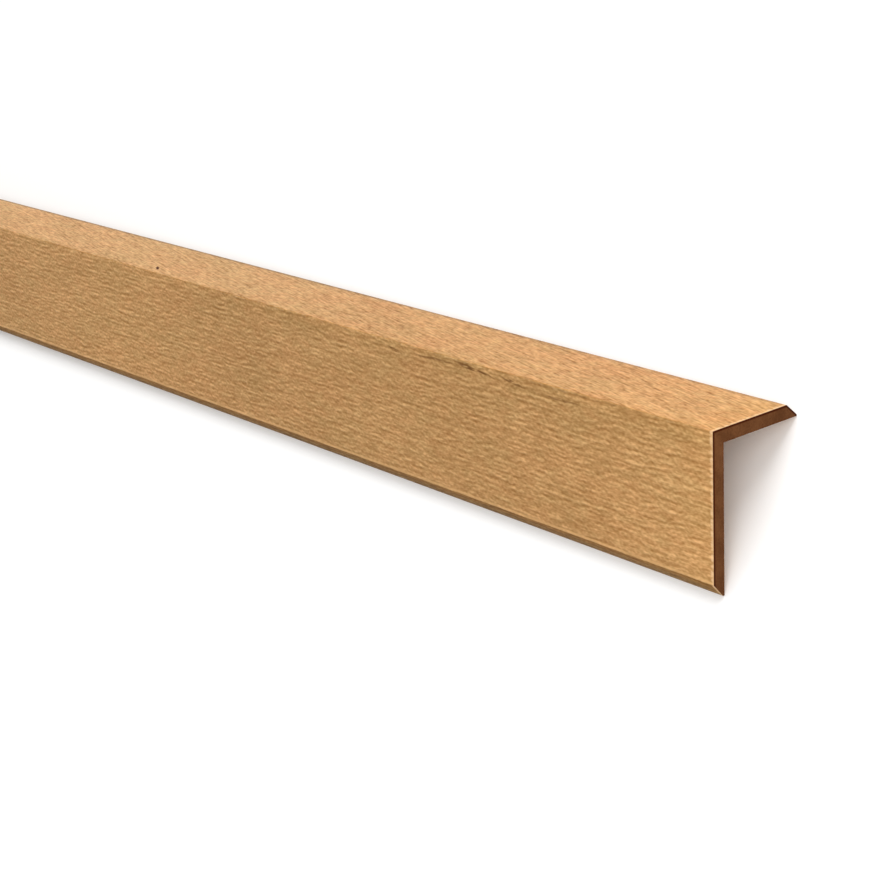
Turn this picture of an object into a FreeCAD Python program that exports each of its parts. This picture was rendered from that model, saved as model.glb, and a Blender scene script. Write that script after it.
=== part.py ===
"""Corner guard moulding: one length of unequal-leg wooden angle.

The section is an L. The long leg and the short leg have the same thickness. Each leg's tip is
bevelled on its show side down to a thin land, so that the moulding dies into the wall. The outer
arris and the two bevel shoulders are eased with a small radius, and the inner corner is square, to
seat on the corner of a wall.

The section is drawn as it sits on a wall corner: the arris runs along X, the long leg hangs down
from it and the short leg runs back. The finished length is then turned about X to the way that it
lies on a floor: arris up, standing on the two leg tips. Millimetres, +Z up, origin on the floor at
the middle of the footprint.
"""
import FreeCAD, Part
import Sketcher
import math
import os

Vec = FreeCAD.Vector
NODE = "corner_guard"

# Driving dimensions: alias, value, what it is.
SIZES = (
    ("stock_length", 1200.0, "length of the piece"),
    ("long_leg", 40.0, "outside width of the long leg, arris to tip"),
    ("short_leg", 28.0, "outside width of the short leg, arris to tip"),
    ("leg_thickness", 3.5, "thickness of both legs"),
    ("bevel_run", 3.5, "width of a tip's bevel, measured along the leg"),
    ("tip_land", 0.4, "square edge left under a tip's bevel"),
    ("arris_radius", 0.3, "easing of the outer corner"),
    ("shoulder_radius", 0.6, "easing where a show face meets its bevel"),
)


def make_sheet(doc):
    """The spreadsheet of driving dimensions: value in A, alias on it, words in B."""
    sheet = doc.addObject("Spreadsheet::Sheet", "Sizes")
    for row, (alias, value, words) in enumerate(SIZES, start=1):
        sheet.set(f"A{row}", str(value))
        sheet.setAlias(f"A{row}", alias)
        sheet.set(f"B{row}", words)
    doc.recompute()
    return sheet


def origin_plane(body, role):
    """One of a body's own origin planes."""
    return next(plane for plane in body.Origin.OriginFeatures if plane.Role == role)


def section_points(sheet):
    """The section's corners in order, as (across, up) from the arris, before any easing."""
    run, land, thick = sheet.bevel_run, sheet.tip_land, sheet.leg_thickness
    short, long = sheet.short_leg, sheet.long_leg
    return (
        (0.0, 0.0),
        (short - run, 0.0),
        (short, land - thick),
        (short, -thick),
        (thick, -thick),
        (thick, -long),
        (thick - land, -long),
        (0.0, run - long),
    )


# The section's sides, numbered as drawn from the arris round, each from the corner of the same number.
SHORT_FACE, SHORT_BEVEL, SHORT_LAND, SHORT_BACK = range(4)
LONG_BACK, LONG_LAND, LONG_BEVEL, LONG_FACE = range(4, 8)

# How a sketch names a line's two ends, and its own origin.
START, END = 1, 2
SKETCH_ORIGIN = -1

# Two points closer than this, in millimetres, are the same corner.
SAME_POINT = 1e-5

# The direction that the length runs in, which the piece is also turned about.
LENGTHWISE = Vec(1, 0, 0)


def draw_section(body, sheet):
    """The L section on the body's YZ plane, arris on the origin, with every size bound to the sheet."""
    sketch = body.newObject("Sketcher::SketchObject", "Section")
    sketch.AttachmentSupport = [(origin_plane(body, "YZ_Plane"), "")]
    sketch.MapMode = "FlatFace"

    corners = [Vec(across, up, 0) for across, up in section_points(sheet)]
    for here, there in zip(corners, corners[1:] + corners[:1]):
        sketch.addGeometry(Part.LineSegment(here, there), False)

    for side in range(len(corners)):
        follower = (side + 1) % len(corners)
        sketch.addConstraint(Sketcher.Constraint("Coincident", side, END, follower, START))
    for side in (SHORT_FACE, SHORT_BACK, LONG_LAND):
        sketch.addConstraint(Sketcher.Constraint("Horizontal", side))
    for side in (SHORT_LAND, LONG_BACK, LONG_FACE):
        sketch.addConstraint(Sketcher.Constraint("Vertical", side))
    sketch.addConstraint(Sketcher.Constraint("Coincident", SHORT_FACE, START, SKETCH_ORIGIN, START))

    def size(kind, first, first_end, second, second_end, expression):
        """A driving distance from one point to another, bound to the sheet."""
        value = sketch.evalExpression(expression)
        index = sketch.addConstraint(
            Sketcher.Constraint(kind, first, first_end, second, second_end, value)
        )
        sketch.setExpression(f"Constraints[{index}]", expression)

    size("DistanceX", SHORT_FACE, START, SHORT_BACK, START, "Sizes.short_leg")
    size("DistanceX", SHORT_FACE, END, SHORT_BACK, START, "Sizes.bevel_run")
    size("DistanceY", SHORT_LAND, END, SHORT_LAND, START, "Sizes.tip_land")
    size("DistanceY", SHORT_BACK, START, SHORT_FACE, START, "Sizes.leg_thickness")
    size("DistanceX", LONG_FACE, END, LONG_BACK, START, "Sizes.leg_thickness")
    size("DistanceY", LONG_LAND, START, LONG_FACE, END, "Sizes.long_leg")
    size("DistanceX", LONG_LAND, END, LONG_LAND, START, "Sizes.tip_land")
    size("DistanceY", LONG_LAND, END, LONG_FACE, START, "Sizes.bevel_run")
    return sketch


def long_edges(shape, corner):
    """Names of the edges that run lengthwise from one corner of the section: both ends are on it."""
    across, up = corner

    def on_corner(vertex):
        return math.hypot(vertex.Y - across, vertex.Z - up) < SAME_POINT

    return [
        f"Edge{number}"
        for number, edge in enumerate(shape.Edges, start=1)
        if all(on_corner(vertex) for vertex in edge.Vertexes)
    ]


def ease(body, base, corners, radius, name):
    """Rounds the long edges at some corners of the section by a radius from the sheet."""
    names = [edge for corner in corners for edge in long_edges(base.Shape, corner)]
    if len(names) != len(corners):
        raise RuntimeError(f"{name}: found {len(names)} edges for {len(corners)} corners")
    fillet = body.newObject("PartDesign::Fillet", name)
    fillet.Base = (base, names)
    fillet.setExpression("Radius", radius)
    return fillet


def make_moulding(doc, sheet):
    """The whole piece: the section, run to length, with its show edges eased."""
    body = doc.addObject("PartDesign::Body", "Moulding")
    body.Label = NODE
    sketch = draw_section(body, sheet)

    run = body.newObject("PartDesign::Pad", "Run")
    run.Profile = sketch
    run.SideType = "Symmetric"
    run.setExpression("Length", "Sizes.stock_length")
    doc.recompute()

    corners = section_points(sheet)
    arris = corners[SHORT_FACE]
    shoulders = (corners[SHORT_BEVEL], corners[LONG_FACE])
    eased = ease(body, run, (arris,), "Sizes.arris_radius", "EasedArris")
    doc.recompute()
    ease(body, eased, shoulders, "Sizes.shoulder_radius", "EasedShoulders")
    doc.recompute()
    return body


def lay_on_floor(doc, body):
    """Turns the piece onto its two leg tips and sets it on the floor, centred on the origin."""
    long_inside = "(Sizes.long_leg - Sizes.leg_thickness)"
    short_inside = "(Sizes.short_leg - Sizes.leg_thickness)"
    any_turn = -1.0  # a placement holds on to its axis only while there is some turn about it
    body.Placement = FreeCAD.Placement(Vec(), FreeCAD.Rotation(LENGTHWISE, any_turn))
    body.setExpression("Placement.Rotation.Angle", f"-atan2({long_inside}; {short_inside})")
    doc.recompute()
    box = body.Shape.optimalBoundingBox(False, False)
    body.Placement.Base = Vec(0, -box.Center.y, -box.ZMin)
    doc.recompute()


def check(doc, body):
    """Stops before anything is written if an object failed or the solid isn't sound."""
    for item in doc.Objects:
        if {"Invalid", "Error"} & set(item.State):
            raise RuntimeError(f"{item.Label} failed: {item.State}")
    shape = body.Shape
    if shape.isNull() or not shape.isValid() or len(shape.Solids) != 1:
        raise RuntimeError(f"{body.Label} is not one sound solid")


def main():
    doc = FreeCAD.newDocument("CornerGuard")
    sheet = make_sheet(doc)
    body = make_moulding(doc, sheet)
    lay_on_floor(doc, body)
    check(doc, body)
    os.makedirs("parts", exist_ok=True)
    body.Shape.exportStep(os.path.join("parts", f"{body.Label}.step"))
    box = body.Shape.optimalBoundingBox(False, False)
    print(f"{body.Label}: {body.Shape.Volume:.1f} mm3, box {box}")


main()
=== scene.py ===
"""Corner guard moulding: the looks of one length of flecked beech L-section, on a plain studio floor.

The moulding is modelled over its CAD solid, at the same size and place. It is drawn as it sits on a
wall corner, arris along X, long leg down and short leg back, and is then turned to the way it lies on
a floor, arris up and standing on its two leg tips. Lengths are metres, in the CAD model's frame.
"""
import math
from typing import NamedTuple

import bmesh
import bpy
from bpy.props import FloatProperty, FloatVectorProperty, IntProperty, PointerProperty
from mathutils import Matrix, Vector


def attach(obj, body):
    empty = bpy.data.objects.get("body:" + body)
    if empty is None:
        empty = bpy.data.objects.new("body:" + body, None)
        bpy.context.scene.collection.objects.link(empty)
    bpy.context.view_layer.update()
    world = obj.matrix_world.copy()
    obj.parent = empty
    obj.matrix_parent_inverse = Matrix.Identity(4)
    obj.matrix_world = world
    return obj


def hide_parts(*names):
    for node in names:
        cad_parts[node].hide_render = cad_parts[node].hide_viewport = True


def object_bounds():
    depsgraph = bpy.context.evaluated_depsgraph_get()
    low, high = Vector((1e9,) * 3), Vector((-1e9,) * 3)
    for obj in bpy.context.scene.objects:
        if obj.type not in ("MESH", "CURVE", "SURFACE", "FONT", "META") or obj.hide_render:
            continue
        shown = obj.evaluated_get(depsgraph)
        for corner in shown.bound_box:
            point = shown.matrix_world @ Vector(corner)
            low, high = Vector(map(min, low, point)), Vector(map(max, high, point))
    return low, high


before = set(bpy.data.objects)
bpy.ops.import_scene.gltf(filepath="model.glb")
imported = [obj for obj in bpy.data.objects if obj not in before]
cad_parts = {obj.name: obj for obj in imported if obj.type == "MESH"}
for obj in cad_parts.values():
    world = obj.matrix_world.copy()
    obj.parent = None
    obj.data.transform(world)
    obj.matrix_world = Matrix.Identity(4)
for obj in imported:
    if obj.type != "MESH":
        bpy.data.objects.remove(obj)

bl_info = {
    "name": "Corner Guard Moulding",
    "version": (1, 0, 0),
    "blender": (4, 5, 0),
    "location": "3D View > Sidebar > Corner Guard",
    "description": "Models a length of beech corner guard moulding and a plain studio floor to see it on",
    "category": "Object",
}

CAD_LOW, CAD_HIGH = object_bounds()
NODE = "corner_guard"
MM = 0.001


def length_property(name, description, millimetres):
    """A length that the sidebar shows in the scene's units."""
    return FloatProperty(
        name=name, description=description, default=millimetres * MM, unit="LENGTH", precision=5
    )


def colour_property(name, description, colour):
    """A linear colour with a picker."""
    return FloatVectorProperty(
        name=name, description=description, default=colour, subtype="COLOR", size=3, min=0.0, max=1.0
    )


def slant_property(name, description, degrees):
    """An angle that the sidebar shows in degrees."""
    return FloatProperty(
        name=name, description=description, default=math.radians(degrees), subtype="ANGLE", unit="ROTATION"
    )


class MouldingSizes(bpy.types.PropertyGroup):
    """The section and length of the moulding."""

    length: length_property("Length", "Length of the piece", (CAD_HIGH.x - CAD_LOW.x) / MM)
    long_leg: length_property("Long Leg", "Outside width of the long leg, arris to tip", 40.0)
    short_leg: length_property("Short Leg", "Outside width of the short leg, arris to tip", 28.0)
    thickness: length_property("Thickness", "Thickness of both legs", 3.5)
    bevel_run: length_property("Bevel Run", "Width of a tip's bevel, measured along the leg", 3.5)
    tip_land: length_property("Tip Land", "Square edge left under a tip's bevel", 0.4)
    arris_radius: length_property("Arris Radius", "Easing of the outer corner", 0.3)
    shoulder_radius: length_property("Shoulder Radius", "Easing where a show face meets its bevel", 0.6)
    edge_easing: length_property("Edge Easing", "Sanded break on the lands and round the sawn ends", 0.12)
    strip: length_property("Mesh Strip", "Spacing of the mesh across a leg", 3.0)
    cells: IntProperty(
        name="Mesh Cells", description="Cells of the mesh along the piece, a multiple of the map's stripes",
        default=99, min=3, max=99, step=3,
    )


class WoodFinish(bpy.types.PropertyGroup):
    """Colours, grain and gloss of the beech."""

    pale_fleck: colour_property("Pale Fleck", "Palest fleck of the show faces", (0.790, 0.457, 0.185))
    dark_fleck: colour_property("Dark Fleck", "Darkest fleck of the show faces", (0.246, 0.100, 0.0100))
    streak: colour_property("Streak", "Dark streaks on the long leg's face", (0.150, 0.060, 0.012))
    knot: colour_property("Pin Knot", "Pin knot on the short leg's face", (0.060, 0.010, 0.001))
    end_pale: colour_property("End Grain Pale", "Pale tone of the sawn ends", (0.145, 0.056, 0.0197))
    end_dark: colour_property("End Grain Dark", "Dark tone of the sawn ends", (0.092, 0.0323, 0.0103))
    # a painted highlight along the edges of the sawn ends
    end_edge_highlight: colour_property("End Edge Highlight", "Pale wood where the sawn edges are rubbed", (0.850, 0.560, 0.310))
    end_rim: colour_property("End Rim", "Scorched line round the sawn ends", (0.046, 0.006, 0.0002))
    back_pale: colour_property("Back Pale", "Pale tone of the planed backs", (0.56, 0.33, 0.16))
    back_dark: colour_property("Back Dark", "Dark tone of the planed backs", (0.36, 0.19, 0.08))
    long_slant: slant_property("Long Face Slant", "Lean of the grain on the long leg's face", 0.4)
    short_slant: slant_property("Short Face Slant", "Lean of the grain on the short leg's face", 13.5)
    roughness: FloatProperty(
        name="Roughness", description="Roughness of the finish on the show faces", default=0.55,
        subtype="FACTOR", min=0.0, max=1.0,
    )


class StudioStage(bpy.types.PropertyGroup):
    """Floor, light and camera."""

    floor: colour_property("Floor", "Colour of the floor", (0.96, 0.96, 0.955))
    sky: FloatProperty(name="Sky", description="Strength of the even light all round", default=0.54, min=0.0)
    key: FloatProperty(
        name="Key", description="Strength of the broad soft light behind the short leg", default=1.845,
        min=0.0,
    )
    key_spread: slant_property(
        "Key Spread", "Width of the key light in the sky, which softens the shadows", 42.0
    )
    fill: FloatProperty(
        name="Fill", description="Power of the soft light in front of the near end", default=2.0,
        unit="POWER", min=0.0,
    )
    lens: FloatProperty(
        name="Lens", description="Focal length of the camera", default=79.921, unit="CAMERA", min=1.0
    )


def section_turn(sizes):
    """The angle about X from the section as drawn to the section as it lies on its two tips."""
    return -math.atan2(sizes.long_leg - sizes.thickness, sizes.short_leg - sizes.thickness)


def arris_place(sizes):
    """Where the sharp arris of the section lies in the CAD model's frame, at the middle of the length."""
    turn = Matrix.Rotation(section_turn(sizes), 3, "X")
    short_tip = turn @ Vector((0.0, sizes.short_leg, -sizes.thickness))
    long_tip = turn @ Vector((0.0, sizes.thickness - sizes.tip_land, -sizes.long_leg))
    return Vector((0.0, CAD_LOW.y - long_tip.y, CAD_LOW.z - short_tip.z))


# Modelling in edit mode

# How closely a direction must agree to count as lengthwise, as facing a way, and as facing an end.
LENGTHWISE = 0.999
FACING = 0.9
FACING_END = 0.5

# How near two places must be to count as one corner of the section, as one point, and as on a cut.
SAME_CORNER = 0.02 * MM
SAME_POINT = 1e-6
ON_CUT = 1e-7

# The turn at an edge that counts as sharp, and the turn up to which faces are shaded as one.
SHARP_TURN = math.radians(60)
SMOOTH_TURN = math.radians(35)

ARRIS_SEGMENTS = 5
SHOULDER_SEGMENTS = 3
BREAK_SEGMENTS = 2


def pick(kind, test):
    """Selects the faces or edges of the mesh in edit mode that pass a test, and nothing else."""
    mesh = bpy.context.edit_object.data
    bpy.ops.mesh.select_mode(type=kind)
    bpy.ops.mesh.select_all(action="DESELECT")
    cage = bmesh.from_edit_mesh(mesh)
    cage.normal_update()
    found = [part for part in (cage.faces if kind == "FACE" else cage.edges) if test(part)]
    if not found:
        raise RuntimeError("no part of the moulding passes the test")
    for part in found:
        part.select_set(True)
    cage.select_flush_mode()
    bmesh.update_edit_mesh(mesh)


def runs_lengthwise(edge):
    """Whether an edge lies along X."""
    return abs((edge.verts[0].co - edge.verts[1].co).normalized().x) > LENGTHWISE


def at_corner(edge, across, up):
    """Whether an edge runs along X through one corner of the section."""
    middle = (edge.verts[0].co + edge.verts[1].co) / 2
    return runs_lengthwise(edge) and math.hypot(middle.y - across, middle.z - up) < SAME_CORNER


def cut(place, normal, trim=False):
    """Cuts the whole mesh by a plane. A trimming cut takes off what is on the normal's side and caps it."""
    bpy.ops.mesh.select_mode(type="FACE")
    bpy.ops.mesh.select_all(action="SELECT")
    bpy.ops.mesh.bisect(plane_co=place, plane_no=normal, use_fill=trim, clear_outer=trim, threshold=ON_CUT)


def ease(test, offset, segments):
    """Rounds the edges that pass a test."""
    pick("EDGE", test)
    bpy.ops.mesh.bevel(offset=offset, offset_type="OFFSET", segments=segments, affect="EDGES")


def draw_moulding(sizes):
    """The moulding's mesh, shaped from a block at its corner."""
    long, short, thick = sizes.long_leg, sizes.short_leg, sizes.thickness
    run, land = sizes.bevel_run, sizes.tip_land
    half = sizes.length / 2
    bpy.ops.object.select_all(action="DESELECT")
    bpy.ops.mesh.primitive_cube_add(
        size=1.0, calc_uvs=False, location=(0.0, thick / 2, -thick / 2), scale=(sizes.length, thick, thick)
    )
    piece = bpy.context.object
    piece.name = piece.data.name = "moulding"
    bpy.ops.object.transform_apply(location=True, rotation=True, scale=True)
    bpy.ops.object.mode_set(mode="EDIT")

    # the two legs, drawn out of the corner block
    pick("FACE", lambda face: face.normal.z < -FACING)
    bpy.ops.mesh.extrude_region_move(TRANSFORM_OT_translate={"value": (0.0, 0.0, thick - long)})
    pick("FACE", lambda face: face.normal.y > FACING and face.calc_center_median().z > -thick)
    bpy.ops.mesh.extrude_region_move(TRANSFORM_OT_translate={"value": (0.0, short - thick, 0.0)})

    # the bevels on the tips
    slope = Vector((0.0, thick - land, run)).normalized()
    cut((0.0, short - run, 0.0), slope, trim=True)
    slope = Vector((0.0, -run, land - thick)).normalized()
    cut((0.0, 0.0, run - long), slope, trim=True)

    # the eased arris and bevel shoulders
    ease(lambda edge: at_corner(edge, 0.0, 0.0), sizes.arris_radius, ARRIS_SEGMENTS)
    bend = math.atan2(thick - land, run)
    tangent = sizes.shoulder_radius * math.tan(bend / 2)
    shoulders = ((short - run, 0.0), (0.0, run - long))
    ease(lambda edge: any(at_corner(edge, *corner) for corner in shoulders), tangent, SHOULDER_SEGMENTS)

    # the sanded breaks on the tips' lands and round the sawn ends
    lands = ((short, -thick), (short, land - thick), (thick, -long), (thick - land, -long))
    ease(lambda edge: any(at_corner(edge, *corner) for corner in lands), sizes.edge_easing, BREAK_SEGMENTS)

    def at_end(edge):
        sharp = edge.calc_face_angle(0.0) > SHARP_TURN
        return sharp and all(abs(abs(corner.co.x) - half) < SAME_POINT for corner in edge.verts)

    ease(at_end, sizes.edge_easing, BREAK_SEGMENTS)

    # strips across the legs and cells along the length
    strips = round((long - thick - run) / sizes.strip)
    for number in range(1, strips):
        cut((0.0, 0.0, -thick - (long - thick - run) * number / strips), (0.0, 0.0, 1.0))
    strips = round((short - thick - run) / sizes.strip)
    for number in range(1, strips):
        cut((0.0, thick + (short - thick - run) * number / strips, 0.0), (0.0, 1.0, 0.0))
    pick("EDGE", lambda edge: runs_lengthwise(edge) and edge.calc_length() > half)
    bpy.ops.mesh.subdivide(number_cuts=sizes.cells - 1)

    bpy.ops.mesh.select_all(action="SELECT")
    bpy.ops.mesh.remove_doubles(threshold=SAME_POINT)
    bpy.ops.mesh.normals_make_consistent(inside=False)
    bpy.ops.object.mode_set(mode="OBJECT")
    return piece


def lay_on_floor(piece, sizes):
    """Turns the moulding onto its tips, where the CAD solid is, and leaves its object at the origin."""
    piece.rotation_euler = (section_turn(sizes), 0.0, 0.0)
    piece.location = arris_place(sizes)
    bpy.ops.object.select_all(action="DESELECT")
    piece.select_set(True)
    bpy.context.view_layer.objects.active = piece
    bpy.ops.object.transform_apply(location=True, rotation=True, scale=True)


# Shader maths

class Field:
    """A value that varies over a surface: one output socket, with the sums that can be done on it."""

    def __init__(self, tree, socket):
        self.tree = tree
        self.socket = socket

    def sum(self, operation, *others):
        """One sum on this value and any others, by the name that the Math node gives it."""
        return self.tree.node("ShaderNodeMath", {"operation": operation}, {
            number: value for number, value in enumerate((self, *others))
        })

    def __add__(self, other):
        return self.sum("ADD", other)

    def __radd__(self, other):
        return self.sum("ADD", other)

    def __sub__(self, other):
        return self.sum("SUBTRACT", other)

    def __rsub__(self, other):
        return (self * -1.0) + other

    def __mul__(self, other):
        return self.sum("MULTIPLY", other)

    def __rmul__(self, other):
        return self.sum("MULTIPLY", other)

    def __truediv__(self, other):
        return self.sum("DIVIDE", other)

    def __neg__(self):
        return self * -1.0

    def __abs__(self):
        return self.sum("ABSOLUTE")

    def smooth(self, low, high):
        """Climbs smoothly from nought at low to one at high. Low may be the larger of the two."""
        return self.tree.node(
            "ShaderNodeMapRange", {"interpolation_type": "SMOOTHSTEP"},
            {"Value": self, "From Min": low, "From Max": high},
        )


# What the noise comes to on average.
NOISE_MEAN = 0.5


class Finish:
    """One material, built node by node."""

    def __init__(self, name):
        self.material = bpy.data.materials.new(name)
        self.material.use_nodes = True
        self.nodes = self.material.node_tree.nodes
        self.links = self.material.node_tree.links
        self.nodes.clear()

    def node(self, kind, settings, sockets, outputs=(0,)):
        """A node of a kind: its settings first, then a value or a field for each socket.

        Returns the output that is asked for, or a list of them if it is more than one.
        """
        made = self.nodes.new(kind)
        for name, value in settings.items():
            setattr(made, name, value)
        for name, value in sockets.items():
            if isinstance(value, Field):
                self.links.new(value.socket, made.inputs[name])
            else:
                made.inputs[name].default_value = value
        fields = [Field(self, made.outputs[name]) for name in outputs if made.outputs]
        return fields[0] if len(fields) == 1 else fields

    def blend(self, first, second, share, kind="MIX"):
        """Two colours mixed by a share from nought to one."""
        colour = [(*value, 1.0) if not isinstance(value, Field) else value for value in (first, second)]
        return self.node(
            "ShaderNodeMix", {"data_type": "RGBA", "blend_type": kind, "clamp_factor": True},
            {0: share, 6: colour[0], 7: colour[1]}, outputs=(2,),
        )

    def tint(self, colour, tint, share):
        """A colour multiplied by a tint, by a share from nought to one."""
        return self.blend(colour, tint, share, "MULTIPLY")

    def joined(self, x, y, z=0.0):
        """A place made of three values."""
        return self.node("ShaderNodeCombineXYZ", {}, {"X": x, "Y": y, "Z": z})

    def noise(self, place, detail=0.0):
        """Soft noise of about nought to one, with features about one unit across."""
        return self.node(
            "ShaderNodeTexNoise", {"noise_dimensions": "3D"},
            {"Vector": place, "Scale": 1.0, "Detail": detail, "Roughness": 0.5},
        )

    def close(self, colour, roughness, specular, height=None, bump=0.0):
        """Ends the material in one glossy surface, with a bump if a height in metres is given."""
        sockets = {"Base Color": colour, "Roughness": roughness, "Specular IOR Level": specular}
        if height is not None:
            sockets["Normal"] = self.node(
                "ShaderNodeBump", {}, {"Height": height, "Strength": bump, "Distance": 1.0}
            )
        surface = self.node("ShaderNodeBsdfPrincipled", {}, sockets)
        self.node("ShaderNodeOutputMaterial", {}, {"Surface": surface})
        return self.material


class Section:
    """Where a point of the wood is, in millimetres: along from the near end, and on the section as drawn."""

    def __init__(self, finish, sizes):
        place = finish.node("ShaderNodeTexCoord", {}, {}, outputs=("Object",))
        drawn = finish.node("ShaderNodeMapping", {"vector_type": "TEXTURE"}, {
            "Vector": place,
            "Location": arris_place(sizes),
            "Rotation": (section_turn(sizes), 0.0, 0.0),
            "Scale": (MM, MM, MM),
        })
        run, self.across, self.up = finish.node(
            "ShaderNodeSeparateXYZ", {}, {"Vector": drawn}, outputs=("X", "Y", "Z")
        )
        self.along = sizes.length / 2 / MM - run


# The show faces

class FaceLook(NamedTuple):
    """What sets one leg's show face apart from the other's.

    A fleck's row is its length and width in millimetres, and its strength. A mark's row is its place in
    millimetres along from the near end and down from the arris, its half length and half width, its slant
    in degrees, and its depth of colour.
    """

    name: str
    flecks: tuple
    marks: tuple
    ghost: float  # the share of its neighbour taken off a fleck, pairing each pale fleck with a dark one: grain, partly painted relief shade
    bend: float  # how far the square of the ripple lifts the tone
    warmth: float  # how far the tints of the patches go from white
    painted_stretch_shade: float  # how far the stretch of painted shade goes to black


LONG_LOOK = FaceLook(
    name="beech_long_face",
    flecks=(
        (1.1, 0.36, 0.35),
        (0.9, 0.60, 0.42),
        (1.5, 0.68, 0.38),
        (2.9, 0.66, 0.50),
        (5.5, 0.78, 0.50),
        (10.0, 0.80, 0.37),
        (24.0, 1.10, 0.21),
        (34.0, 9.00, 0.20),
    ),
    marks=(
        (94.4, 1.85, 10.0, 0.44, 1.4, 0.70),
        (79.6, 1.60, 9.0, 0.50, -5.9, 0.95),
        (65.3, 2.10, 5.0, 0.46, -9.7, 0.85),
        (48.0, 3.00, 8.0, 0.44, 0.0, 0.60),
        (110.5, 2.60, 4.0, 0.50, -9.0, 0.80),
    ),
    ghost=0.25,
    bend=0.6,
    warmth=0.035,
    painted_stretch_shade=0.095,
)
SHORT_LOOK = FaceLook(
    name="beech_short_face",
    flecks=(
        (1.2, 0.36, 0.17),
        (1.1, 0.61, 0.46),
        (2.7, 1.18, 0.55),
        (5.0, 0.60, 0.49),
        (14.0, 0.62, 0.40),
        (8.0, 4.00, 0.19),
        (40.0, 14.00, 0.19),
    ),
    marks=((231.4, 3.51, 2.7, 0.62, 31.0, 1.0),),
    ghost=0.0,
    bend=-0.2,
    warmth=0.05,
    painted_stretch_shade=0.02,
)

# Noise over a face: millimetres between features along and across it, layer of the noise, and detail.
SWAY = (17.0, 6.0, 2.0, 0.0)
PATCHES = (24.0, 13.0, 6.0, 1.0)
BLUSHES = (4.5, 2.2, 11.0, 1.0)
WANDER = (5.0, 3.0, 25.0, 1.0)
BREAKS = (2.5, 0.6, 29.0, 0.0)
END_HIGHLIGHT_NOISE = (2.0, 0.9, 9.0, 2.0)
DENTS = (2.2, 0.9, 15.0, 0.0)

# The grain: how far it sways, the layers of noise between two sizes of fleck, the shift to a fleck's
# neighbour, in millimetres, that is taken off to paint relief shade beside each fleck, and the tone between
# the dark fleck and the pale one that it swings about.
SWAY_WIDTH = 0.8
FLECK_LAYERS = 4.0
PAINTED_RELIEF_SHIFT = 0.75
MIDDLE_TONE = 0.49

# Tints, each with the stretches in millimetres along from the near end, or down from the arris, over which it
# comes in. The short leg's face is warmer towards the near end and then brighter there with painted light,
# and the long leg's is darker under the arris and paler in its lower near corner with a painted highlight.
WARM_TINT = (1.013, 0.958, 0.885)
WARM_ALONG = (230.0, 60.0)
NEAR_END_PAINTED_LIGHT_TINT = (1.065, 1.06, 1.05)
NEAR_END_PAINTED_LIGHT_ALONG = (60.0, 10.0)
UNDER_TINT = (0.945, 0.95, 0.92)
UNDER_ALONG = (240.0, 140.0)
UNDER_WIDE = (7.0, 1.0)
LOWER_CORNER_HIGHLIGHT_TINT = (1.06, 1.06, 1.08)
LOWER_CORNER_HIGHLIGHT_ALONG = (45.0, 5.0)
LOWER_CORNER_HIGHLIGHT_WIDE = (14.0, 24.0)

# The ragged line of painted shade on the short leg's side of the arris: its tint, the millimetres between its
# bulges, its layer of the noise and detail, the noise at which it is gone, its width for each unit of noise
# above that, and how softly it ends.
ARRIS_PAINTED_SHADE_TINT = (0.80, 0.77, 0.70)
LINE_BULGE = 14.0
LINE_LAYER = 21.0
LINE_DETAIL = 2.0
LINE_GONE = 0.4
LINE_WIDTH = 3.0
LINE_FADE = (-0.1, 0.3)

# The stretch of painted shade on both faces: its middle along from the near end, and how it fades to either
# side.
PAINTED_STRETCH_SHADE_MIDDLE = 115.0
PAINTED_STRETCH_SHADE_FADE = (140.0, 50.0)
BLACK = (0.0, 0.0, 0.0)

# The noise over which a patch turns from olive to peach, a streak breaks and the painted highlight along a
# sawn edge breaks up.
PATCH_FADE = (0.3, 0.7)
BREAK_FADE = (0.2, 0.6)
END_HIGHLIGHT_NOISE_FADE = (0.25, 0.65)

# How far a streak wanders, in millimetres, and how a mark comes in from its rim, which is at one.
WANDER_WIDTH = 1.2
MARK_FADE = (1.0, 0.1)

# Painted shade along the short leg's bevel shoulder and a painted highlight along the long leg's: how far
# before the shoulder it lies, how it fades to either side, its tint or share, and on the short leg how it
# grows with the distance from the near end, and its share there.
SHORT_SHOULDER_SHADE_PLACE = 0.45
SHORT_SHOULDER_SHADE_FADE = (1.1, 0.1)
SHORT_SHOULDER_SHADE_TINT = (0.56, 0.58, 0.56)
SHORT_SHOULDER_SHADE_ALONG = (30.0, 200.0)
SHORT_SHOULDER_SHADE_NEAR = 0.55
LONG_SHOULDER_HIGHLIGHT_PLACE = 0.35
LONG_SHOULDER_HIGHLIGHT_FADE = (0.55, 0.1)
LONG_SHOULDER_HIGHLIGHT_SHARE = 0.45

# The bevels: how they begin past the shoulder, and the tints from the shoulder to the tip, which darken and
# grey them partly as bare wood and partly as painted shade.
BEVEL_START = (-0.1, 0.25)
BEVEL_SPAN = (0.3, 3.0)
SHOULDER_TINT = (0.52, 0.44, 0.24)
TIP_TINT = (0.46, 0.46, 0.40)

# The painted highlight along the edge at a sawn end: how far its broken noise moves it, how it fades away
# from the end, and the least and the added share of pale wood in it. The scorched line lies on the end
# itself.
END_HIGHLIGHT_REACH = 0.5
END_HIGHLIGHT_FADE = (0.7, 0.1)
END_HIGHLIGHT_LEAST = 0.18
END_HIGHLIGHT_ADDED = 0.5
RIM_FADE = (0.16, 0.05)
RIM_SHARE = 0.85

# Relief in metres, how near the arris the dents lie in millimetres, how far the roughness falls with the
# ripple and rises on bevels and marks, and the gloss of the lacquer.
FLECK_RELIEF = 0.0001
DENT_RELIEF = 0.0004
DENT_WIDE = (1.0, 0.2)
FLECK_GLOSS = 0.16
BARE_ROUGHNESS = 0.3
LACQUER_GLOSS = 0.25


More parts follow.
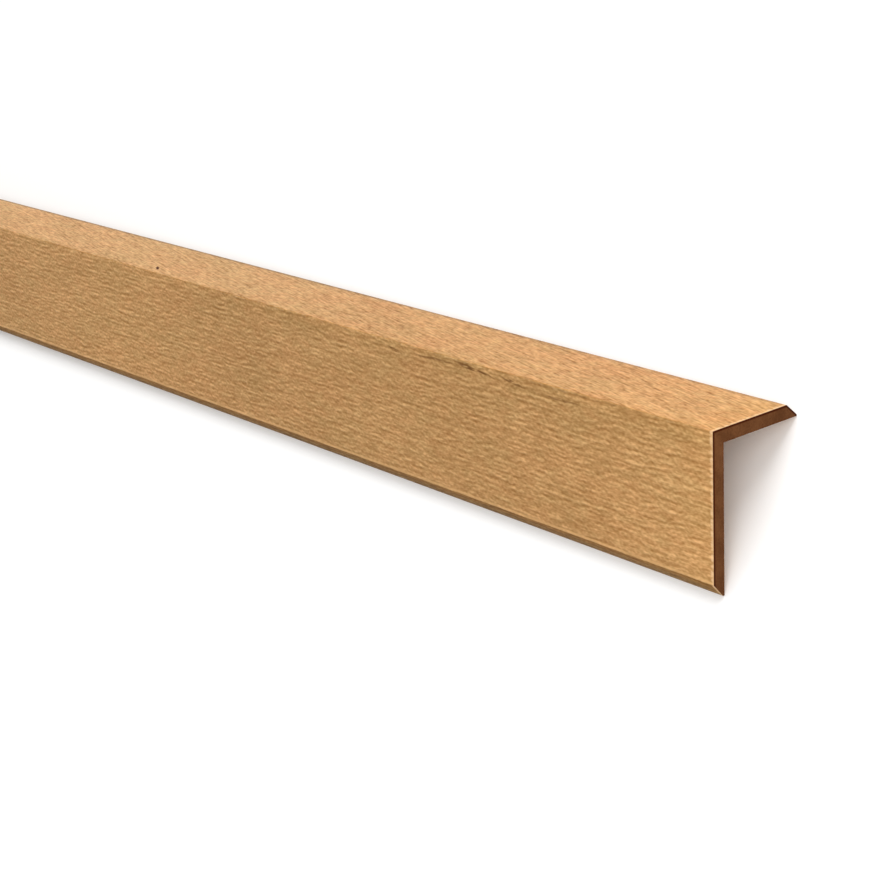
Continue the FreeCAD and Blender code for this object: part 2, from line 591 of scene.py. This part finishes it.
def spread(finish, along, wide, row):
    """Noise over a face. A row is the spacing of its features along and across, its layer and its detail."""
    length, width, layer, detail = row
    return finish.noise(finish.joined(along / length, wide / width, layer), detail)


def fleck_ripple(finish, along, wide, slant, look):
    """All the flecks of a face together, nought on average, each with a share of its neighbour taken off as
    painted relief shade.
    """
    sway = (spread(finish, along, wide, SWAY) - NOISE_MEAN) * SWAY_WIDTH
    grain = along * math.cos(slant) + wide * math.sin(slant)
    weave = wide * math.cos(slant) - along * math.sin(slant) + sway
    ripple = 0.0
    for number, (length, width, strength) in enumerate(look.flecks):
        row = (length, width, number * FLECK_LAYERS, 0.0)
        fleck = spread(finish, grain, weave, row) - NOISE_MEAN
        # painted relief shade: taking off the fleck beside it gives each pale fleck a dark one next to it
        if look.ghost:
            beside = spread(finish, grain, weave + PAINTED_RELIEF_SHIFT, row) - NOISE_MEAN
            fleck = fleck - beside * look.ghost
        ripple = fleck * strength + ripple
    return ripple


def patched(finish, colour, along, wide, look):
    """A face's colour with patches of two sizes, from an olive tan to a peach one."""
    patch = spread(finish, along, wide, PATCHES)
    blush = spread(finish, along, wide, BLUSHES)
    olive = (1.0 - look.warmth, 1.0, 1.0)
    peach = (1.0 + look.warmth, 1.0 - look.warmth / 2, 1.0 - look.warmth / 2)
    tone = (patch * 0.5 + blush * 0.5).smooth(*PATCH_FADE)
    return finish.tint(colour, finish.blend(olive, peach, tone), 1.0)


def toned(finish, colour, along, wide, look):
    """A face's colour with its slow changes along the piece and beside the arris, painted light and shade
    among them.
    """
    if look is SHORT_LOOK:
        colour = finish.tint(colour, WARM_TINT, along.smooth(*WARM_ALONG))
        # painted light: the short leg's face is brighter towards the near end
        colour = finish.tint(colour, NEAR_END_PAINTED_LIGHT_TINT, along.smooth(*NEAR_END_PAINTED_LIGHT_ALONG))
        # a ragged line of painted shade along the arris
        bulge = finish.noise(finish.joined(along / LINE_BULGE, 0.0, LINE_LAYER), LINE_DETAIL)
        edge = (bulge - LINE_GONE) * LINE_WIDTH
        colour = finish.tint(colour, ARRIS_PAINTED_SHADE_TINT, (edge - wide).smooth(*LINE_FADE))
    else:
        under = wide.smooth(*UNDER_WIDE) * along.smooth(*UNDER_ALONG)
        colour = finish.tint(colour, UNDER_TINT, under)
        # a painted highlight: the long leg's face is paler in its lower near corner
        corner = along.smooth(*LOWER_CORNER_HIGHLIGHT_ALONG) * wide.smooth(*LOWER_CORNER_HIGHLIGHT_WIDE)
        colour = finish.tint(colour, LOWER_CORNER_HIGHLIGHT_TINT, corner)
    # painted shade: a darker stretch along the middle of both faces
    stretch_shade = abs(along - PAINTED_STRETCH_SHADE_MIDDLE).smooth(*PAINTED_STRETCH_SHADE_FADE) * look.painted_stretch_shade
    return finish.blend(colour, BLACK, stretch_shade)


def mark(along, wide, row):
    """A soft streak or knot: its depth of colour along its middle, and nought outside it."""
    start, deep, half_length, half_width, slant, depth = row
    cosine, sine = math.cos(math.radians(slant)), math.sin(math.radians(slant))
    far = ((along - start) * cosine + (wide - deep) * sine) / half_length
    off = ((wide - deep) * cosine - (along - start) * sine) / half_width
    return (far * far + off * off).smooth(*MARK_FADE) * depth


def face_marks(finish, along, wide, look):
    """All the marks of a face together. The long leg's streaks wander and break, and the knot is whole."""
    if look is SHORT_LOOK:
        return sum(mark(along, wide, row) for row in look.marks)
    wander = (spread(finish, along, wide, WANDER) - NOISE_MEAN) * WANDER_WIDTH
    broken = spread(finish, along, wide, BREAKS).smooth(*BREAK_FADE)
    return sum(mark(along, wide + wander, row) * broken for row in look.marks)


def flecked_face(sizes, wood, look):
    """A leg's lacquered show face: pale and dark flecks along the grain, over slow patches of tone, with
    painted light and shade at the arris, the shoulders, the bevel and the sawn ends.
    """
    short = look is SHORT_LOOK
    finish = Finish(look.name)
    section = Section(finish, sizes)
    along = section.along
    wide = section.across if short else -section.up
    ripple = fleck_ripple(finish, along, wide, wood.short_slant if short else wood.long_slant, look)
    tone = ripple + ripple * ripple * look.bend + MIDDLE_TONE
    colour = finish.blend(wood.dark_fleck, wood.pale_fleck, tone)
    colour = patched(finish, colour, along, wide, look)
    colour = toned(finish, colour, along, wide, look)
    scars = face_marks(finish, along, wide, look)
    colour = finish.blend(colour, wood.knot if short else wood.streak, scars)

    # the tip's bevel is duller and darker, partly bare wood and partly painted shade; its shoulder has a
    # painted highlight on the long leg and painted shade on the short one
    leg = sizes.short_leg if short else sizes.long_leg
    past = wide - (leg - sizes.bevel_run) / MM
    if short:
        growth = along.smooth(*SHORT_SHOULDER_SHADE_ALONG) * (1.0 - SHORT_SHOULDER_SHADE_NEAR) + SHORT_SHOULDER_SHADE_NEAR
        shoulder_painted_light = abs(past + SHORT_SHOULDER_SHADE_PLACE).smooth(*SHORT_SHOULDER_SHADE_FADE) * growth
        colour = finish.tint(colour, SHORT_SHOULDER_SHADE_TINT, shoulder_painted_light)
    else:
        shoulder_painted_light = abs(past + LONG_SHOULDER_HIGHLIGHT_PLACE).smooth(*LONG_SHOULDER_HIGHLIGHT_FADE) * LONG_SHOULDER_HIGHLIGHT_SHARE
        colour = finish.blend(colour, wood.pale_fleck, shoulder_painted_light)
    bevelled = past.smooth(*BEVEL_START)
    bare_and_painted_shade = finish.blend(SHOULDER_TINT, TIP_TINT, past.smooth(*BEVEL_SPAN))
    colour = finish.tint(colour, bare_and_painted_shade, bevelled)

    # the edges at the sawn ends get a broken painted highlight, up to the scorched line
    inset = along.sum("MINIMUM", sizes.length / MM - along)
    end_highlight_breaks = spread(finish, along, wide, END_HIGHLIGHT_NOISE).smooth(*END_HIGHLIGHT_NOISE_FADE)
    end_edge_highlight = (inset - end_highlight_breaks * END_HIGHLIGHT_REACH).smooth(*END_HIGHLIGHT_FADE) * (end_highlight_breaks * END_HIGHLIGHT_ADDED + END_HIGHLIGHT_LEAST)
    colour = finish.blend(colour, wood.end_edge_highlight, end_edge_highlight)
    colour = finish.blend(colour, wood.end_rim, inset.smooth(*RIM_FADE) * RIM_SHARE)

    dents = (spread(finish, along, wide, DENTS) - NOISE_MEAN) * wide.smooth(*DENT_WIDE)
    height = ripple * FLECK_RELIEF + dents * DENT_RELIEF
    roughness = wood.roughness - ripple * FLECK_GLOSS + (bevelled + scars) * BARE_ROUGHNESS
    return finish.close(colour, roughness, LACQUER_GLOSS, height, bump=1.0)


# The sawn ends and the backs

# End grain: the size of pores and of slow patches along and across the grain in millimetres, with the
# detail of each, how they turn from dark to pale, the depth of the scorched line, gloss, relief in metres
# and strength of the bump.
PORE_SIZE = (2.0, 0.5)
PORE_DETAIL = 2.0
END_PATCH_SIZE = (9.0, 4.0)
END_PATCH_DETAIL = 1.0
END_FADE = (0.3, 0.7)
SCORCH_FADE = (0.65, 0.3)
END_ROUGHNESS = 0.85
END_GLOSS = 0.04
PORE_RELIEF = 0.00005
PORE_BUMP = 0.8

# Planed backs: length and width of the fibres in millimetres, their layer of the noise and detail, gloss,
# relief in metres and strength of the bump.
FIBRES = (8.0, 0.6, 3.0, 2.0)
BACK_ROUGHNESS = 0.7
BACK_GLOSS = 0.4
FIBRE_RELIEF = 0.00005
FIBRE_BUMP = 0.5


def end_noise(finish, section, size, detail):
    """Noise through the wood, with features of a size along and across the grain."""
    length, width = size
    place = finish.joined(section.along / length, section.across / width, section.up / width)
    return finish.noise(place, detail)


def sawn_end(sizes, wood):
    """The end grain: dark, with fine pores and a scorched line along the show faces."""
    finish = Finish("beech_end_grain")
    section = Section(finish, sizes)
    across, up = section.across, section.up
    pores = end_noise(finish, section, PORE_SIZE, PORE_DETAIL)
    slow = end_noise(finish, section, END_PATCH_SIZE, END_PATCH_DETAIL)
    colour = finish.blend(wood.end_dark, wood.end_pale, (pores * 0.5 + slow * 0.5).smooth(*END_FADE))
    drop = (sizes.thickness - sizes.tip_land) / sizes.bevel_run
    shoulder = (sizes.short_leg - sizes.bevel_run) / MM
    under_bevel = ((shoulder - across) * drop - up) / math.hypot(drop, 1.0)
    depth = across.sum("MINIMUM", (-up).sum("MINIMUM", under_bevel))
    colour = finish.blend(colour, wood.end_rim, depth.smooth(*SCORCH_FADE))
    return finish.close(colour, END_ROUGHNESS, END_GLOSS, pores * PORE_RELIEF, PORE_BUMP)


def planed_back(sizes, wood):
    """The hidden faces that lie on the wall."""
    finish = Finish("beech_back")
    section = Section(finish, sizes)
    fibres = spread(finish, section.along, section.across + section.up, FIBRES)
    colour = finish.blend(wood.back_dark, wood.back_pale, fibres)
    return finish.close(colour, BACK_ROUGHNESS, BACK_GLOSS, fibres * FIBRE_RELIEF, FIBRE_BUMP)


LONG_FACE, SHORT_FACE, SAWN_END, PLANED_BACK = range(4)


def dress(piece, sizes, wood):
    """Gives each face of the moulding its material."""
    for material in (
        flecked_face(sizes, wood, LONG_LOOK),
        flecked_face(sizes, wood, SHORT_LOOK),
        sawn_end(sizes, wood),
        planed_back(sizes, wood),
    ):
        piece.data.materials.append(material)
    turn = Matrix.Rotation(section_turn(sizes), 3, "X")
    back_ways = turn @ Vector((0.0, 1.0, 0.0)), turn @ Vector((0.0, 0.0, -1.0))
    girth_way = turn @ Vector((0.0, 1.0, 1.0))
    arris = arris_place(sizes)
    for face in piece.data.polygons:
        if abs(face.normal.x) > FACING_END:
            face.material_index = SAWN_END
        elif max(face.normal.dot(way) for way in back_ways) > FACING:
            face.material_index = PLANED_BACK
        elif (face.center - arris).dot(girth_way) > 0.0:
            face.material_index = SHORT_FACE
        else:
            face.material_index = LONG_FACE


# The UV map: how many stripes the length is cut into, the gap between islands, the smaller scale of the
# hidden faces, which need fewer pixels than the show faces, and how far the sawn ends are drawn out.
STRIPES = 3
ISLAND_GAP = 1.5 * MM
HIDDEN_SCALE = 0.4
END_STRETCH = 4.0


def unroll(piece, sizes):
    """Gives the moulding a UV map: the length in stripes, each with its sides laid one over the other."""
    long, short = sizes.long_leg, sizes.short_leg
    heights = [long, short, long * HIDDEN_SCALE, short * HIDDEN_SCALE]
    feet = [sum(heights[:row]) + ISLAND_GAP * (row + 1) for row in range(len(heights))]
    pitch = sum(heights) + ISLAND_GAP * len(heights)
    stripe_length = sizes.length / STRIPES
    sheet = Vector((stripe_length + ISLAND_GAP * 2, pitch * STRIPES + short + ISLAND_GAP * 2))

    turn = Matrix.Rotation(-section_turn(sizes), 3, "X")
    mesh = piece.data
    drawn = [turn @ (corner.co - arris_place(sizes)) for corner in mesh.vertices]
    layer = mesh.uv_layers.new(name="OFBake")
    for face in mesh.polygons:
        stripe = min(int((face.center.x + sizes.length / 2) / stripe_length), STRIPES - 1)
        normal = turn @ face.normal
        for loop in face.loop_indices:
            run, across, up = drawn[mesh.loops[loop].vertex_index]
            right = run + sizes.length / 2 - stripe * stripe_length + ISLAND_GAP
            foot = pitch * stripe
            if face.material_index == SAWN_END:
                right = ((long + ISLAND_GAP) * (run > 0.0) - up) * END_STRETCH + ISLAND_GAP
                foot = pitch * STRIPES + ISLAND_GAP + across
            elif face.material_index == LONG_FACE:
                foot += feet[0] - up
            elif face.material_index == SHORT_FACE:
                foot += feet[1] + across
            elif normal.y > FACING:
                foot += feet[2] - up * HIDDEN_SCALE
            else:
                foot += feet[3] + across * HIDDEN_SCALE
            layer.data[loop].uv = right / sheet.x, foot / sheet.y


class CORNERGUARD_OT_make_moulding(bpy.types.Operator):
    """Models the moulding over its CAD solid and gives it its beech finish"""

    bl_idname = "corner_guard.make_moulding"
    bl_label = "Make Moulding"
    bl_options = {"REGISTER", "UNDO"}

    def execute(self, context):
        sizes = context.scene.moulding_sizes
        piece = draw_moulding(sizes)
        lay_on_floor(piece, sizes)
        dress(piece, sizes, context.scene.wood_finish)
        unroll(piece, sizes)
        bpy.ops.object.shade_smooth_by_angle(angle=SMOOTH_TURN)
        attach(piece, "root")
        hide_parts(NODE)
        return {"FINISHED"}


# The stage, in metres: the floor's side, roughness and gloss, the colour of the sky, where the lights are
# and point, and the fill light's side.
FLOOR_SIDE = 80.0
FLOOR_ROUGHNESS = 0.8
FLOOR_GLOSS = 0.1
WHITE = (1.0, 1.0, 1.0, 1.0)
KEY_PLACE = (0.0, 1.3, 1.6)
KEY_TARGET = (0.0, 0.0, 0.0)
FILL_PLACE = (1.0, -0.1, 0.5)
FILL_TARGET = (0.58, 0.0, 0.0)
FILL_SIDE = 0.5

# The camera's place in metres and its three axes, fitted to the edges in the photo, and its sensor's width
# in millimetres.
CAMERA_PLACE = (0.87113352, -0.04178479, 0.34798093)
CAMERA_RIGHT = Vector((0.64093661, 0.38222924, -0.66565837))
CAMERA_DOWN = Vector((0.21455699, -0.92184591, -0.32274668))
CAMERA_FORWARD = Vector((-0.73699767, 0.06403851, -0.67285475))
SENSOR_WIDTH = 36.0
NEAREST_SEEN = 0.01


def aim(place, target):
    """The turn that makes a light at one place look at another."""
    return (Vector(target) - Vector(place)).to_track_quat("-Z", "Y").to_euler()


def add_light(kind, name, place, target, energy):
    """A light at one place that looks at another."""
    bpy.ops.object.light_add(type=kind, location=place, rotation=aim(place, target))
    light = bpy.context.object
    light.name = light.data.name = name
    light.data.energy = energy
    return light


class CORNERGUARD_OT_set_stage(bpy.types.Operator):
    """Lays a plain pale floor and sets soft studio lights and the camera"""

    bl_idname = "corner_guard.set_stage"
    bl_label = "Set Stage"
    bl_options = {"REGISTER", "UNDO"}

    def execute(self, context):
        scene = context.scene
        stage = scene.studio_stage
        bpy.ops.object.select_all(action="DESELECT")
        bpy.ops.mesh.primitive_plane_add(size=FLOOR_SIDE, location=(0.0, 0.0, 0.0))
        floor = context.object
        floor.name = floor.data.name = "studio_floor"
        paint = Finish("floor_paint")
        floor.data.materials.append(paint.close((*stage.floor, 1.0), FLOOR_ROUGHNESS, FLOOR_GLOSS))

        world = bpy.data.worlds.new("studio_sky")
        world.use_nodes = True
        world.node_tree.nodes["Background"].inputs["Strength"].default_value = stage.sky
        world.node_tree.nodes["Background"].inputs["Color"].default_value = WHITE
        scene.world = world
        key = add_light("SUN", "key_light", KEY_PLACE, KEY_TARGET, stage.key)
        key.data.angle = stage.key_spread
        fill = add_light("AREA", "fill_light", FILL_PLACE, FILL_TARGET, stage.fill)
        fill.data.size = FILL_SIDE
        fill.visible_camera = False

        bpy.ops.object.camera_add(location=CAMERA_PLACE)
        camera = context.object
        camera.name = camera.data.name = "studio_camera"
        axes = Matrix((CAMERA_RIGHT, -CAMERA_DOWN, -CAMERA_FORWARD)).transposed()
        camera.rotation_euler = axes.to_euler()
        camera.data.sensor_fit = "HORIZONTAL"
        camera.data.sensor_width = SENSOR_WIDTH
        camera.data.lens = stage.lens
        camera.data.clip_start = NEAREST_SEEN
        scene.camera = camera
        scene.view_settings.view_transform = "Standard"
        return {"FINISHED"}


class CORNERGUARD_PT_sidebar(bpy.types.Panel):
    """The moulding's sizes, finish and stage, with the operators that make them"""

    bl_idname = "CORNERGUARD_PT_sidebar"
    bl_label = "Corner Guard"
    bl_space_type = "VIEW_3D"
    bl_region_type = "UI"
    bl_category = "Corner Guard"

    def draw(self, context):
        for group, operator in (
            (context.scene.moulding_sizes, None),
            (context.scene.wood_finish, CORNERGUARD_OT_make_moulding.bl_idname),
            (context.scene.studio_stage, CORNERGUARD_OT_set_stage.bl_idname),
        ):
            box = self.layout.box()
            for name in group.__annotations__:
                box.prop(group, name)
            if operator:
                box.operator(operator)


CLASSES = (
    MouldingSizes,
    WoodFinish,
    StudioStage,
    CORNERGUARD_OT_make_moulding,
    CORNERGUARD_OT_set_stage,
    CORNERGUARD_PT_sidebar,
)


def register():
    for item in CLASSES:
        bpy.utils.register_class(item)
    bpy.types.Scene.moulding_sizes = PointerProperty(type=MouldingSizes)
    bpy.types.Scene.wood_finish = PointerProperty(type=WoodFinish)
    bpy.types.Scene.studio_stage = PointerProperty(type=StudioStage)


def unregister():
    del bpy.types.Scene.moulding_sizes
    del bpy.types.Scene.wood_finish
    del bpy.types.Scene.studio_stage
    for item in reversed(CLASSES):
        bpy.utils.unregister_class(item)


def main():
    """Makes the moulding and its stage."""
    register()
    bpy.ops.corner_guard.make_moulding()
    bpy.ops.corner_guard.set_stage()


if __name__ == "__main__":
    main()
